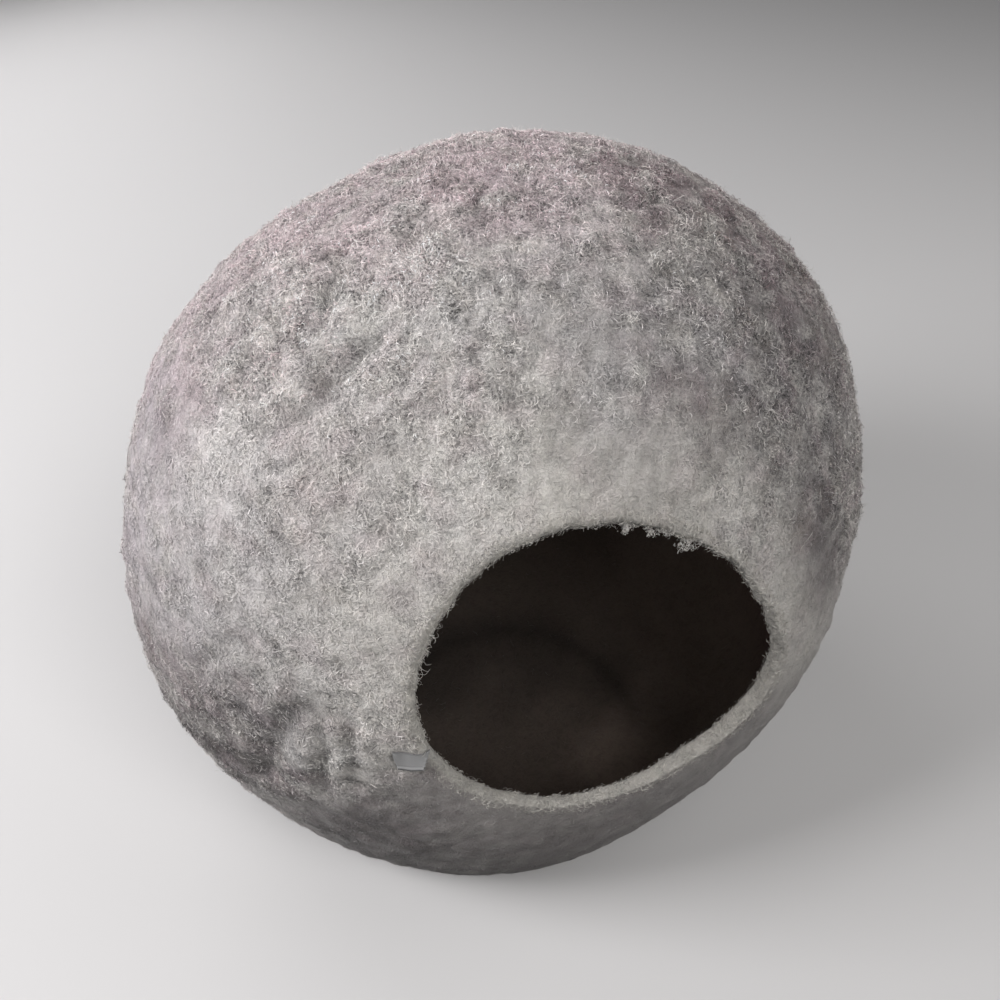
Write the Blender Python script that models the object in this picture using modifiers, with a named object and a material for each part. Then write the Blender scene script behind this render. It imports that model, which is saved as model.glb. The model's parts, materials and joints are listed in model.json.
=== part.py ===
# A felt cat cave: a wet-felted wool ball with one mouth, and a ribbon tab sewn beside the mouth.
# Metres, +Z up. The origin is the middle of the flat base, and the mouth faces -Y.
# A place on the body is given by two angles seen from its core, the middle of its widest level:
# side, in degrees round from the mouth's side (-Y) towards +X, and rise, in degrees above level.

from collections import namedtuple
from math import acos, atan2, copysign, cos, degrees, exp, hypot, pi, radians, sin, sqrt

import bmesh
import bpy
from mathutils import Matrix, Vector

# The body
HALF_WIDTH = 0.244        # across the mouth, at the widest level
HALF_DEPTH = 0.214        # front to back, at the widest level
WIDEST_LEVEL = 0.172      # height of the widest level above the floor
DOME_RISE = 0.233         # from the widest level to the top
BELLY_DROP = 0.288        # how far down the belly would reach if no floor flattened it
PLAN_TURN = radians(8)    # the long side of the plan, turned from X towards Y
FLOOR_ROUNDING = 0.034    # above this height the belly is free of the floor
WALL = 0.008              # thickness of the felt

# The mouth, seen along its own axis from outside, with X to the right and Y up
MOUTH_SIDE = 0.9
MOUTH_RISE = 14.8
MOUTH_REACH = 0.203       # from the core to the middle of the mouth
MOUTH_HALF_WIDTH = 0.0995
MOUTH_HALF_HEIGHT = 0.085
MOUTH_TURN = radians(-16)
MOUTH_DROOP = 0.006       # how much the right-hand corner sags
DROOP_ANGLE = radians(-30)
LIP_ROUNDING = 0.003

# The mesh
SEGMENTS = 60             # round the mouth
RINGS = 36                # from the mouth to the back

# The ribbon tab
TAB_LENGTH = 0.019
TAB_WIDTH = 0.010
TAB_THICKNESS = 0.001
TAB_GAP = 0.0003          # clearance from the felt
TAB_SIDE = -27.3
TAB_RISE = 6.4
TAB_TURN = radians(-12)
TAB_STEPS = (10, 6)

# Broad swells (+) and flat places (-) of the wall
Swell = namedtuple("Swell", "side rise spread height")
SWELLS = (
    Swell(side=60, rise=12, spread=24, height=-0.003),
    Swell(side=81, rise=34, spread=24, height=0.003),
    Swell(side=110, rise=54, spread=24, height=0.003),
    Swell(side=164, rise=65, spread=24, height=0.004),
    Swell(side=-142, rise=54, spread=24, height=-0.005),
    Swell(side=-113, rise=34, spread=24, height=0.005),
    Swell(side=-93, rise=12, spread=24, height=-0.006),
    Swell(side=-72, rise=-7, spread=24, height=0.005),
    Swell(side=-16, rise=-28, spread=24, height=0.010),
    Swell(side=40, rise=-7, spread=24, height=0.004),
    Swell(side=-41, rise=4, spread=6, height=0.004),
    Swell(side=-52, rise=50, spread=12, height=-0.004),
    Swell(side=-60, rise=78, spread=9, height=-0.003),
    Swell(side=140, rise=10, spread=22, height=-0.006),
    Swell(side=-160, rise=-4, spread=20, height=0.004),
)

# Soft creases of the wall, each from one place to another
Crease = namedtuple("Crease", "side_a rise_a side_b rise_b spread depth")
CREASES = (
    Crease(side_a=-37, rise_a=15, side_b=-45, rise_b=8, spread=4.5, depth=0.003),
    Crease(side_a=-45, rise_a=8, side_b=-49, rise_b=-4, spread=4.5, depth=0.005),
    Crease(side_a=-37, rise_a=61, side_b=-57, rise_b=43, spread=5.0, depth=0.004),
    Crease(side_a=-76, rise_a=64, side_b=-62, rise_b=59, spread=4.0, depth=0.003),
    Crease(side_a=118, rise_a=44, side_b=134, rise_b=22, spread=5.0, depth=0.004),
    Crease(side_a=-128, rise_a=30, side_b=-119, rise_b=8, spread=5.0, depth=0.004),
)

FELT_COLOUR = (0.52, 0.49, 0.47, 1.0)
TAB_COLOUR = (0.34, 0.33, 0.32, 1.0)
UP = Vector((0, 0, 1))
CORE = Vector((0, 0, WIDEST_LEVEL))


def direction(side, rise):
    """The unit vector from the core towards a place given in degrees."""
    across, up = radians(side), radians(rise)
    return Vector((sin(across) * cos(up), -cos(across) * cos(up), sin(up)))


MOUTH_AXIS = direction(MOUTH_SIDE, MOUTH_RISE)
SWELL_PLACES = [(direction(row.side, row.rise), row) for row in SWELLS]
CREASE_PLACES = [
    (direction(row.side_a, row.rise_a), direction(row.side_b, row.rise_b), row) for row in CREASES
]


def axis_frame(axis):
    """The right-hand and upward unit vectors seen along an axis from outside."""
    right = UP.cross(axis).normalized()
    return right, axis.cross(right)


def degrees_between(a, b):
    return degrees(acos(max(-1.0, min(1.0, a.dot(b)))))


def degrees_from_line(heading, start, end):
    """How far a heading is from the nearest place between two others."""
    along = (heading - start).dot(end - start) / (end - start).length_squared
    nearest = start.lerp(end, max(0.0, min(1.0, along)))
    return degrees_between(heading, nearest.normalized())


def relief(heading):
    """The height that the swells and creases add to the wall."""
    height = sum(
        row.height * exp(-(degrees_between(heading, place) / row.spread) ** 2)
        for place, row in SWELL_PLACES
    )
    for start, end, row in CREASE_PLACES:
        height -= row.depth * exp(-(degrees_from_line(heading, start, end) / row.spread) ** 2)
    return height


def rest_on_floor(z):
    """Flatten what would pass through the floor, with a soft bend at its edge."""
    if z >= FLOOR_ROUNDING:
        return z
    if z <= -FLOOR_ROUNDING:
        return 0.0
    return (z + FLOOR_ROUNDING) ** 2 / (4 * FLOOR_ROUNDING)


def wall_point(heading):
    """Where a heading from the core meets the outside of the wall."""
    plan = Matrix.Rotation(-PLAN_TURN, 3, "Z") @ heading
    level = hypot(plan.x / HALF_WIDTH, plan.y / HALF_DEPTH)
    height = heading.z / (DOME_RISE if heading.z > 0 else BELLY_DROP)
    reach = 1.0 / sqrt(level ** 2 + height ** 2) + relief(heading)
    point = CORE + heading * reach
    point.z = rest_on_floor(point.z)
    return point


def mouth_radius(angle):
    """The distance from the mouth's middle to its edge, for an angle round its axis."""
    turned = angle - MOUTH_TURN
    oval = 1.0 / hypot(cos(turned) / MOUTH_HALF_WIDTH, sin(turned) / MOUTH_HALF_HEIGHT)
    sag = MOUTH_DROOP * max(0.0, cos(angle - DROOP_ANGLE)) ** 6
    return oval + sag


def new_object(name, mesh, collection, material):
    item = bpy.data.objects.new(name, mesh)
    mesh.materials.append(material)
    collection.objects.link(item)
    return item


def make_material(name, colour, roughness):
    material = bpy.data.materials.new(name)
    material.use_nodes = True
    shader = material.node_tree.nodes["Principled BSDF"]
    shader.inputs["Base Color"].default_value = colour
    shader.inputs["Roughness"].default_value = roughness
    shader.inputs["Metallic"].default_value = 0.0
    return material


def make_shell(collection):
    """A ball about the mouth's axis, opened at the mouth, shaped and given its thickness."""
    right, upward = axis_frame(MOUTH_AXIS)
    work = bmesh.new()
    bmesh.ops.create_uvsphere(work, u_segments=SEGMENTS, v_segments=RINGS, radius=1.0)
    first_ring = pi / RINGS
    mouth_pole = max(work.verts, key=lambda vert: vert.co.z)
    bmesh.ops.delete(work, geom=[mouth_pole], context="VERTS")
    for vert in work.verts:
        angle = atan2(vert.co.y, vert.co.x)
        swing = acos(max(-1.0, min(1.0, vert.co.z)))
        share = (swing - first_ring) / (pi - first_ring)
        edge = atan2(mouth_radius(angle), MOUTH_REACH)
        swing = edge + (pi - edge) * share
        outward = right * cos(angle) + upward * sin(angle)
        vert.co = wall_point(MOUTH_AXIS * cos(swing) + outward * sin(swing))
    bmesh.ops.recalc_face_normals(work, faces=work.faces)

    mesh = bpy.data.meshes.new("felt_shell")
    work.to_mesh(mesh)
    work.free()
    mesh.shade_smooth()
    shell = new_object("felt_shell", mesh, collection, make_material("wool_felt", FELT_COLOUR, 0.95))

    wall = shell.modifiers.new("wall", "SOLIDIFY")
    wall.thickness = WALL
    wall.offset = -1.0
    wall.use_even_offset = True
    lip = shell.modifiers.new("lip", "BEVEL")
    lip.limit_method = "ANGLE"
    lip.angle_limit = radians(55)
    lip.width = LIP_ROUNDING
    lip.segments = 2
    return shell


def make_tab(collection):
    """A flat ribbon that follows the outside of the wall, just clear of it."""
    centre = direction(TAB_SIDE, TAB_RISE)
    right, upward = axis_frame(centre)
    along = right * cos(TAB_TURN) + upward * sin(TAB_TURN)
    across = upward * cos(TAB_TURN) - right * sin(TAB_TURN)
    reach = (wall_point(centre) - CORE).length
    nudge = 0.01

    def clear_point(u, v):
        heading = (centre * reach + along * u + across * v).normalized()
        point = wall_point(heading)
        to_right = wall_point((heading + along * nudge).normalized()) - point
        to_top = wall_point((heading + across * nudge).normalized()) - point
        outward = to_right.cross(to_top).normalized()
        return point + outward * copysign(TAB_GAP, outward.dot(centre))

    work = bmesh.new()
    bmesh.ops.create_grid(work, x_segments=TAB_STEPS[0], y_segments=TAB_STEPS[1], size=0.5)
    for vert in work.verts:
        vert.co = clear_point(vert.co.x * TAB_LENGTH, vert.co.y * TAB_WIDTH)
    mesh = bpy.data.meshes.new("label")
    work.to_mesh(mesh)
    work.free()
    mesh.shade_smooth()
    tab = new_object("label", mesh, collection, make_material("ribbon", TAB_COLOUR, 0.6))

    cloth = tab.modifiers.new("cloth", "SOLIDIFY")
    cloth.thickness = TAB_THICKNESS
    cloth.offset = 1.0
    return tab


def main():
    for item in list(bpy.data.objects):
        bpy.data.objects.remove(item, do_unlink=True)
    parts = bpy.data.collections.new("felt_cat_cave")
    bpy.context.scene.collection.children.link(parts)
    make_shell(parts)
    make_tab(parts)


main()
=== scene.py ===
# Felt cat cave: a wet-felted wool ball with one mouth, its pile, loose curls at the rim and a bare ribbon.
# Metres, +Z up, and the mouth faces -Y. Places on the body are side and rise in degrees, seen from its
# core: side goes round from -Y towards +X, and rise is up from level.
import json
from collections import namedtuple

import bpy
import numpy as np
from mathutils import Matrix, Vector, noise
from mathutils.bvhtree import BVHTree

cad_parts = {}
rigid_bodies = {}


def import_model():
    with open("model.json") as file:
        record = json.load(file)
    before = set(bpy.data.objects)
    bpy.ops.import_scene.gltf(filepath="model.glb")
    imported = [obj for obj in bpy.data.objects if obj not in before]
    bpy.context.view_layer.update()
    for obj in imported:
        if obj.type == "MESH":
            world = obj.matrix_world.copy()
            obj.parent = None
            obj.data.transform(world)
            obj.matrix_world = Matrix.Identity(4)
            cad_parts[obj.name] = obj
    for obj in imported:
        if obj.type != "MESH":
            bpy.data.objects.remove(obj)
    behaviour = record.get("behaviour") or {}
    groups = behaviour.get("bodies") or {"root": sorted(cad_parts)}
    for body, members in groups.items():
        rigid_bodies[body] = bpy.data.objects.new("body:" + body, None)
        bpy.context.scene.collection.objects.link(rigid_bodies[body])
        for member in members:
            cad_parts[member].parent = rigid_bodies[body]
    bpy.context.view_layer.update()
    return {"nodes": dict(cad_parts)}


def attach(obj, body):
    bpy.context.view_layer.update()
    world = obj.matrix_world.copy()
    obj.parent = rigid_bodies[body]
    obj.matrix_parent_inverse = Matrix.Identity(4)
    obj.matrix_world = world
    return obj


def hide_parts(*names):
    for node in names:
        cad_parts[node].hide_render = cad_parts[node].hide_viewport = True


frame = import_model()
core = np.array((0.0, 0.0, 0.172))        # middle of the widest level
upWay = np.array((0.0, 0.0, 1.0))
ballRadius = 0.22                          # of an even ball about as big as the felt
startOut = 0.6                             # rays towards the core set out from here
Grain = namedtuple("Grain", "size shift strength")
grains = {                                 # noises: size in metres, a shift that sets each apart, strength
    "dyeEdge": [Grain(0.045, 3.1, 9.0), Grain(0.018, 7.7, 8.0), Grain(0.007, 2.3, 6.0)],      # in degrees
    "patchyNap": [Grain(0.024, 6.6, 0.60), Grain(0.010, 2.9, 0.50)],
    "lump": [Grain(0.014, 11.0, 1.0), Grain(0.0085, 5.0, 0.7)],
    "swell": [Grain(0.030, 2.0, 1.0), Grain(0.062, 9.0, 0.5)],
    "lipEdge": [Grain(0.022, 4.0, 1.0), Grain(0.008, 1.0, 0.45)],
    "lipFace": [Grain(0.006, 8.0, 0.0006), Grain(0.016, 3.0, 0.0009)],                        # in metres
    "insideRipple": [Grain(0.035, 6.0, 0.0016), Grain(0.018, 1.0, 0.0014)],                   # in metres
}


def unit(rows):
    return rows / np.maximum(np.linalg.norm(rows, axis=-1, keepdims=True), 1e-12)


def headingOf(side, rise):
    side, rise = np.radians(side), np.radians(rise)
    return np.stack([np.sin(side) * np.cos(rise), -np.cos(side) * np.cos(rise), np.sin(rise)], axis=-1)


def degreesApart(headings, place):
    return np.degrees(np.arccos(np.clip(headings @ place, -1.0, 1.0)))


def smoothStep(low, high, values):
    share = np.clip((values - low) / (high - low), 0.0, 1.0)      # low is the larger for a falling step
    return share * share * (3.0 - 2.0 * share)


def noiseAt(points, size, shift):
    return np.array([noise.noise(row) for row in (points / size + shift).tolist()])


def grainAt(points, name, creased=False):
    total = 0.0
    for grain in grains[name]:
        rows = noiseAt(points, grain.size, grain.shift)
        total = total + grain.strength * (np.abs(rows) if creased else rows)
    return total


def hill(apart, spread):
    # 1 at a place, falling away evenly round it
    return np.exp(-((apart / spread) ** 2))


def onBall(points):
    # the same place on an even ball, so that noise doesn't change with the height of the felt
    return core + unit(points - core) * ballRadius


def mixRows(first, second, share):
    return first + (second - first) * share[:, None]


def treeOf(mesh):
    return BVHTree.FromPolygons([v.co for v in mesh.vertices], [tuple(p.vertices) for p in mesh.polygons])


def addObject(name, data):
    item = bpy.data.objects.new(name, data)
    bpy.context.scene.collection.objects.link(item)
    return item


def addMaterial(name):
    material = bpy.data.materials.new(name)
    material.use_nodes = True
    return material, material.node_tree


# the dyes, and where each lies on the body
wool = {                                   # linear colours of the carded wools, and of painted shade and painted light
    "oatmeal": (0.560, 0.530, 0.500),
    "cream": (0.622, 0.594, 0.542),
    "white": (0.900, 0.875, 0.850),
    "ivory": (0.790, 0.755, 0.708),
    "pearl": (0.730, 0.695, 0.685),
    "mauve": (0.640, 0.525, 0.540),
    "rose": (0.830, 0.700, 0.715),
    "petal": (0.800, 0.600, 0.630),
    "lilac": (0.620, 0.555, 0.580),
    "blush": (0.600, 0.515, 0.490),
    "slate": (0.200, 0.180, 0.185),
    "peat": (0.210, 0.170, 0.140),
    "plum": (0.300, 0.215, 0.225),
    "stone": (0.282, 0.256, 0.247),
    "umber": (0.140, 0.121, 0.116),
    # painted shade for the underside, low near the floor
    "paintedUnderShade": (0.070, 0.056, 0.053),
    "lining": (0.060, 0.0415, 0.0365),
    # the lining's floor where light comes in through the mouth: painted light
    "liningLitFloor": (0.070, 0.055, 0.046),
}
wool = {name: np.array(colour) for name, colour in wool.items()}
Patch = namedtuple("Patch", "dye side rise spread strength")
patches = [Patch(*row) for row in (
    # the pale upper left and the cream round the mouth
    ("pearl", -58, 33, 26, 0.75), ("pearl", -72, 44, 14, 0.60), ("cream", -19, 44, 12, 0.80),
    ("cream", -5, 46, 10, 0.80), ("cream", 20, 36, 9, 0.80), ("ivory", -20, 39, 7, 0.80),
    ("pearl", -29, 62, 8, 0.75), ("cream", -33, 22, 11, 0.90), ("cream", -34, 8, 9, 0.80),
    ("cream", 33, 14, 9, 0.90), ("cream", 36, 0, 9, 0.80), ("pearl", -41, 17, 8, 0.60),
    # the stone and umber patches below the mouth are partly the wool's browner grey, partly painted shade
    # where the body turns under
    ("pearl", -64, 16, 9, 0.50), ("stone", -8, -17, 13, 0.95), ("stone", 16, -26, 17, 0.90),
    ("stone", 34, -18, 12, 0.60), ("umber", -36, -15, 10, 0.95), ("umber", -14, -30, 16, 0.70),
    # the rosy cap and its ragged front edge
    ("mauve", -106, 58, 13, 0.90), ("mauve", -97, 69, 12, 0.90), ("mauve", -64, 79, 9, 0.90),
    ("mauve", -74, 71, 6, 0.60), ("mauve", 20, 86, 12, 0.90), ("mauve", 58, 81, 9, 0.85),
    ("mauve", -40, 81, 5, 0.60), ("mauve", 150, 76, 16, 0.90), ("mauve", -150, 62, 20, 0.80),
    ("mauve", 165, 48, 14, 0.60), ("rose", 42, 85, 8, 0.85), ("rose", -92, 64, 8, 0.60),
    ("pearl", -62, 58, 9, 0.70), ("pearl", -42, 70, 6, 0.70), ("pearl", -82, 52, 6, 0.50),
    ("plum", 74, 74, 7, 0.75), ("plum", 88, 66, 9, 0.65), ("plum", 18, 77, 5, 0.45),
    # left edge
    ("mauve", -97, 44, 12, 0.75), ("mauve", -82, 39, 8, 0.75), ("lilac", -86, 27, 13, 0.80),
    ("lilac", -78, 12, 10, 0.60), ("mauve", -118, 30, 18, 0.70), ("lilac", -140, 15, 20, 0.70),
    ("blush", -44, 41, 6, 0.45), ("blush", -51, 46, 5, 0.40), ("mauve", -63, 8, 6, 0.40),
    # the plum and slate patches low on the left are partly the wool's own colour, partly painted shade
    ("plum", -62, 2, 7, 0.55), ("slate", -56, -6, 9, 0.75), ("slate", -72, -14, 14, 0.60),
    ("slate", -49.5, 7, 3.5, 0.65),
    # the grey and brown right side
    ("slate", 46, 46, 11, 0.50), ("slate", 30, 46, 9, 0.35), ("slate", 62, 50, 12, 0.60),
    ("slate", 70, 36, 14, 0.35), ("slate", 43, 26, 7, 0.60), ("slate", 2, 64, 9, 0.25),
    ("slate", 62, 12, 16, 0.45), ("peat", 48, 52, 4, 0.50), ("peat", 66, 62, 4, 0.60),
    ("peat", 78, 44, 6, 0.50), ("plum", 96, 50, 12, 0.60), ("plum", 92, 30, 14, 0.55),
    ("slate", 118, 22, 16, 0.50), ("peat", 140, 36, 9, 0.40), ("pearl", 150, 10, 18, 0.60),
    ("slate", 176, 24, 12, 0.35), ("mauve", -168, 8, 12, 0.45),
    # single pale and dark locks, and painted shade low on the front and left
    ("ivory", -68, 76, 4.5, 0.85), ("ivory", 45, 76, 4, 0.80), ("ivory", -67, 50, 8, 0.55),
    ("ivory", -67, 37, 6, 0.50), ("ivory", -62, 57, 6, 0.40), ("ivory", -43, 16, 7, 0.30),
    ("pearl", 3, 70, 9, 0.70), ("pearl", -64, 14, 6, 0.40), ("rose", 34, 81, 5, 0.80),
    ("rose", -76, 67, 5, 0.55), ("rose", -78, 46, 4, 0.40), ("plum", 157, 88.5, 3, 0.55),
    ("plum", -20, 79, 4, 0.45), ("plum", 68, 53, 6, 0.55), ("slate", 60, 44, 7, 0.45),
    # the large umber patches low on the left and front are partly the wool's own brown, partly painted
    # shade
    ("slate", 43, 44, 6, 0.35), ("slate", 43, 25, 6, 0.40), ("umber", -58, -4, 8, 0.80),
    ("umber", -33, -14, 10, 0.75), ("umber", 66, 66, 4, 0.30), ("umber", 61.5, 51, 3.5, 0.50),
    ("umber", 74, 52, 4, 0.45), ("peat", 28, 47, 3.5, 0.50), ("umber", -51, 55.3, 0.8, 0.90),
    ("ivory", 26, 32, 8, 0.90), ("ivory", 28, 19, 5, 0.35), ("slate", 42, 22, 5, 0.55),
    ("ivory", -18, 50, 7, 0.40), ("ivory", -32, 37, 8, 0.40), ("ivory", -33, 16, 9, 0.60),
    ("ivory", -35, 9, 5, 0.40), ("slate", -42.5, 10, 2.8, 0.42), ("ivory", -56, 60, 12, 0.75),
    ("ivory", -43, 74, 5, 0.35), ("slate", 16, 62, 6, 0.35), ("pearl", 7, 54, 6, 0.40),
    ("pearl", 38, 53, 5, 0.60), ("slate", 8, 48, 7, 0.22), ("slate", 42, 12, 6, 0.40),
    ("stone", 21, -5, 8, 0.50), ("stone", -28, -7, 6, 0.45), ("plum", -72, 4, 5, 0.50),
    ("rose", 33, 80, 7, 0.60), ("slate", 10, 62, 7, 0.30), ("slate", 31, 48, 4, 0.35),
    ("slate", -1, 49, 5, 0.30), ("stone", -25, -2, 8, 0.45), ("slate", 43, 20, 7, 0.40),
    ("slate", -46, 7.5, 2.5, 0.40), ("ivory", -37, 4, 4.5, 0.30), ("ivory", -51, -3, 3, 0.50),
    ("ivory", -34, 7, 4, 0.35), ("stone", -33, -8, 6, 0.40), ("umber", -43, -9.5, 3.5, 0.60),
    # painted shade: the darkest patches here, low on the front and left, and the faint umber ones below the
    # mouth
    ("paintedUnderShade", -44, -18, 7, 0.65), ("paintedUnderShade", -37, -24, 7, 0.65), ("paintedUnderShade", -52, -12, 5, 0.45),
    ("paintedUnderShade", -61, -9, 6, 0.50), ("paintedUnderShade", -27, -30, 7, 0.45), ("umber", 13, -14, 6, 0.25),
    ("umber", 3, -20, 6, 0.25), ("umber", 23, -7, 5, 0.25), ("stone", -19, -3, 4, 0.30),
    ("stone", 0, -9, 5, 0.35), ("ivory", -66, 57, 9, 0.50), ("ivory", -48, 62, 8, 0.35),
    ("ivory", -84, 46, 4, 0.40), ("mauve", -80, 38, 6, 0.30), ("umber", -28, 81, 1.6, 0.60),
    ("umber", -45, 82, 1.5, 0.55), ("umber", -19, 87.5, 1.6, 0.60), ("peat", -80, 81, 2.5, 0.20),
    ("rose", 50, 83.6, 4, 0.60), ("plum", 91, 55, 5, 0.40), ("slate", 46, 28, 5, 0.30),
    ("slate", 33, 34, 4, 0.25), ("slate", 41, 12, 4, 0.35), ("ivory", -56, 60, 13, 0.55),
    ("rose", -77, 67, 5, 0.40), ("mauve", -52, 45, 4, 0.25), ("slate", 42, 22, 4, 0.35),
    ("lilac", -80, 34, 8, 0.35), ("slate", -20, 38.2, 3.5, 0.22), ("slate", -43, 5, 2.5, 0.35),
    # the last patch here is painted shade low on the front
    ("peat", -43, 42, 5, 0.15), ("plum", 63, 69, 4, 0.30), ("paintedUnderShade", -35, -13, 6, 0.40),
    ("white", -56, 59, 11, 0.35), ("white", -93, 76, 4, 0.15), ("white", 41, 83.5, 3, 0.35),
    ("mauve", -70, 80, 4, 0.45), ("slate", -31, 61.5, 4, 0.25), ("pearl", 62, 28, 5, 0.25),
    ("white", -25.5, 39.5, 2.5, 0.35), ("white", -37, 37, 4, 0.20), ("white", -18, 47, 5, 0.25),
    ("white", 21, 32, 3, 0.25), ("white", -26, 26, 3, 0.05), ("white", 8, 54.5, 5, 0.20),
    # the last patch here is painted shade in the hollow beside the lip
    ("pearl", 44, 59, 5, 0.25), ("pearl", 54, 35, 5, 0.25), ("stone", -24, 2.5, 2.5, 0.30),
    ("petal", -77, 67, 6, 0.35), ("petal", -61, 71, 5, 0.25), ("petal", -90, 62, 6, 0.25),
    ("petal", -73, 81, 5, 0.25), ("petal", -28, 55, 4, 0.20), ("petal", 19, 83, 7, 0.15),
    ("plum", -66, 80, 3.5, 0.25), ("peat", 44, 25, 7, 0.20), ("peat", 64, 39, 6, 0.22),
    ("peat", 40, 12, 5, 0.20), ("plum", 62, 50, 4, 0.35), ("plum", 21, 51, 3.5, 0.22),
    ("petal", -69, 53, 6, 0.28), ("oatmeal", 1, 74, 4.5, 0.45), ("pearl", 20, 73, 4, 0.45),
    ("petal", -31, 84, 4, 0.20), ("rose", 8, 83, 6, 0.75), ("slate", -75, 42, 5, 0.22),
    ("slate", -81, 31, 7, 0.28), ("slate", -68, 14, 5, 0.16), ("stone", -26, 24, 5, 0.16),
    ("slate", 16, 59, 4, 0.18), ("plum", 91, 55, 5, 0.35), ("mauve", -49, 52, 4, 0.22),
    ("white", -52, 60, 12, 0.22), ("mauve", -78, 41.5, 4, 0.65), ("white", -68, 37.5, 3.5, 0.45),
    ("white", -68, 75.5, 2.6, 0.45), ("rose", -93, 76, 4, 0.35), ("oatmeal", 28, 71, 6, 0.30),
    ("oatmeal", 8, 65, 6, 0.28), ("oatmeal", 47, 79, 4, 0.20), ("mauve", -38, 54, 4, 0.20),
    ("plum", 64, 41, 6, 0.16), ("plum", 62, 66, 3.5, 0.30), ("slate", -10, 75, 5, 0.12),
    ("slate", -42, 45, 6, 0.12), ("slate", 24, 47, 7, 0.12), ("slate", -60, 18, 13, 0.17),
    # the middle patch here is painted shade low on the front
    ("umber", -52, 2, 4, 0.22), ("paintedUnderShade", -30, -10, 7, 0.25), ("peat", 37, 25, 3, 0.35),
    ("white", -43, 2, 2.5, 0.35), ("white", -37.5, 4, 1.6, 0.35), ("umber", -47, -2, 2.5, 0.35),
    ("slate", -80, 36, 5, 0.15),
)]
Nap = namedtuple("Nap", "side rise spread height")
naps = [                                   # 0 where the felt is smooth, 1 where its pile is thickest
    Nap(40, 84, 13, 1.25),
    Nap(-95, 76, 14, 1.20),
    Nap(-71, 60, 12, 1.25),
    Nap(-90, 60, 10, 1.00),
    Nap(-30, 55, 9, 0.85),
    Nap(-46, 37, 8, 0.75),
    Nap(-66, 34, 10, 0.38),
    Nap(-63, 15, 11, 0.42),
    Nap(4, 62, 8, 0.50),
    Nap(62, 62, 11, 1.10),
    Nap(80, 42, 12, 1.00),
    Nap(86, 18, 12, 0.70),
    Nap(50, 42, 8, 1.15),
    Nap(58, 22, 10, 1.05),
    Nap(26, 44, 6, 0.50),
    Nap(38, 28, 5, 0.55),
    Nap(-1, 43, 7, 0.10),
    Nap(12, 42, 5, 0.10),
    Nap(-20, 39, 6, 0.28),
    Nap(-30, 26, 6, 0.30),
    Nap(-31, 11, 5, 0.60),
    Nap(-48, 4, 7, 0.85),
    Nap(-36, 8, 5, 0.55),
    Nap(-44, 1, 4, 0.80),
    Nap(-56, -2, 9, 0.75),
    Nap(33, 15, 8, 0.08),
    Nap(34, -4, 12, 0.04),
    Nap(-10, -12, 14, 0.02),
    Nap(10, -18, 18, 0.02),
    Nap(-32, -22, 13, 0.10),
    Nap(22, -34, 26, 0.05),
]
napElsewhere = {"weight": 0.12, "height": 0.52}


def dyeWeights(points, headings):
    # how much of each patch's dye is at each place
    ragged = grainAt(points, "dyeEdge") * (0.30 + 0.70 * np.minimum(napAt(points), 1.0))
    weights = []
    for patch in patches:
        apart = degreesApart(headings, headingOf(patch.side, patch.rise))
        apart = np.maximum(apart + ragged * np.clip(patch.spread / 10.0, 0.35, 1.0), 0.0)
        weights.append(patch.strength * hill(apart, patch.spread))
    return weights


def dyeColours(weights, draw=None):
    colours = np.tile(wool["oatmeal"], (len(weights[0]), 1))
    for patch, weight in zip(patches, weights):
        if draw is not None:               # each fibre is mostly of one wool
            weight = np.clip((weight - draw.random(len(weight))) * 2.5 + 0.5, 0.0, 1.0) * (weight > 0.02)
        colours = mixRows(colours, wool[patch.dye], weight)
    return colours


Lock = namedtuple("Lock", "dye size shift most")
locks = [
    Lock("ivory", 0.0130, 3.7, 0.50),
    Lock("peat", 0.0105, 8.2, 0.26),
    Lock("mauve", 0.0150, 5.5, 0.32),
    Lock("slate", 0.0072, 1.9, 0.24),
]


def localTints(colours, points, nap):
    # carded wool is never even: it has paler, browner and rosier locks a few millimetres across
    points = onBall(points)
    strength = np.minimum(0.15 + nap, 1.0)
    for lock in locks:
        share = smoothStep(0.02, 0.46, noiseAt(points, lock.size, lock.shift)) * lock.most * strength
        colours = mixRows(colours, wool[lock.dye], share)
    return colours


def napAt(points):
    # how thick the pile is at each place
    points = onBall(points)
    headings = unit(points - core)
    weight = np.full(len(points), napElsewhere["weight"])
    total = weight * napElsewhere["height"]
    for place in naps:
        share = hill(degreesApart(headings, headingOf(place.side, place.rise)), place.spread)
        weight += share
        total += share * place.height
    return np.clip(total / weight * (1.0 + grainAt(points, "patchyNap")), 0.0, 1.4)


# the felt body
body = {
    "segments": 384,        # round the mouth
    "outerRings": 186,
    "lipRows": 9,
    "innerRings": 48,
    "mouthSide": 0.9,
    "mouthRise": 14.8,
    "wall": 0.0078,
    "thickLip": 0.0022,     # extra at the lower right of the lip
    "thinLip": 0.0006,      # and how much less there is at its bottom
    "rolledLip": 0.0042,    # how far the rounded lip reaches
    "cutLip": 0.0022,       # how far the cut lip reaches
    "lipWobble": 0.0012,
    "lump": 0.0046,
    "swell": 0.0014,
    "sink": 0.0014,         # room under the pile, away from the lip
    "faceting": 9,          # smoothing passes over the frame's facets
    "lipNap": 0.25,
    "insideNap": 0.60,
    "shoulder": 0.38,       # how high the felt stands up beside a furrow, as a share of its depth
    "darkDepth": 0.0036,    # a furrow this deep has the most painted shade
    "fold": 0.0035,         # height of the fold where the inside's floor turns up
    "foldMiddle": (-0.012, -0.078),
    "foldHalfSize": (0.088, 0.094),
    "shadeUnderPile": 0.02,      # painted shade: how much darker the felt is under its pile
    # painted shade in the hollows between lumps and along furrows
    "hollowShade": 0.44,
    "furrowShade": 0.42,
}
Furrow = namedtuple("Furrow", "depth spread places")
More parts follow.
